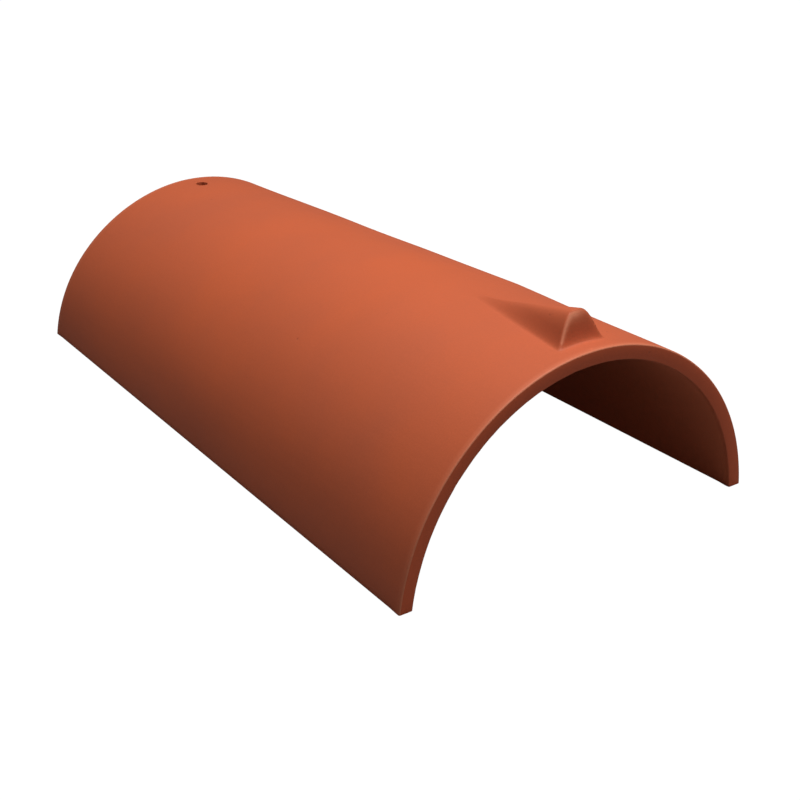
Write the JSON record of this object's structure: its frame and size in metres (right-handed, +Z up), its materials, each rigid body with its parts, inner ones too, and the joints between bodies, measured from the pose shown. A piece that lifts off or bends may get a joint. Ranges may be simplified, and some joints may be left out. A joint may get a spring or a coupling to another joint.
{
  "type": "ridge tile",
  "caption": "Tapered half-round clay ridge tile that caps a roof ridge, with a nail hole through its crown and a raised nib near the wide end",
  "frame": {"origin": "middle of the footprint, on the level surface the two long edges stand on", "axes": "+X across the tile, +Y along the ridge from the wide end with the nib towards the narrow end with the nail hole, +Z up through the crown"},
  "size_m": [0.251, 0.423, 0.136],
  "materials": {
    "fired_clay": "unglazed fired terracotta, smooth and matt, with light scum and small firing marks"
  },
  "bodies": {
    "root": {"ridge_tile": "fired_clay"}
  },
  "joints": []
}
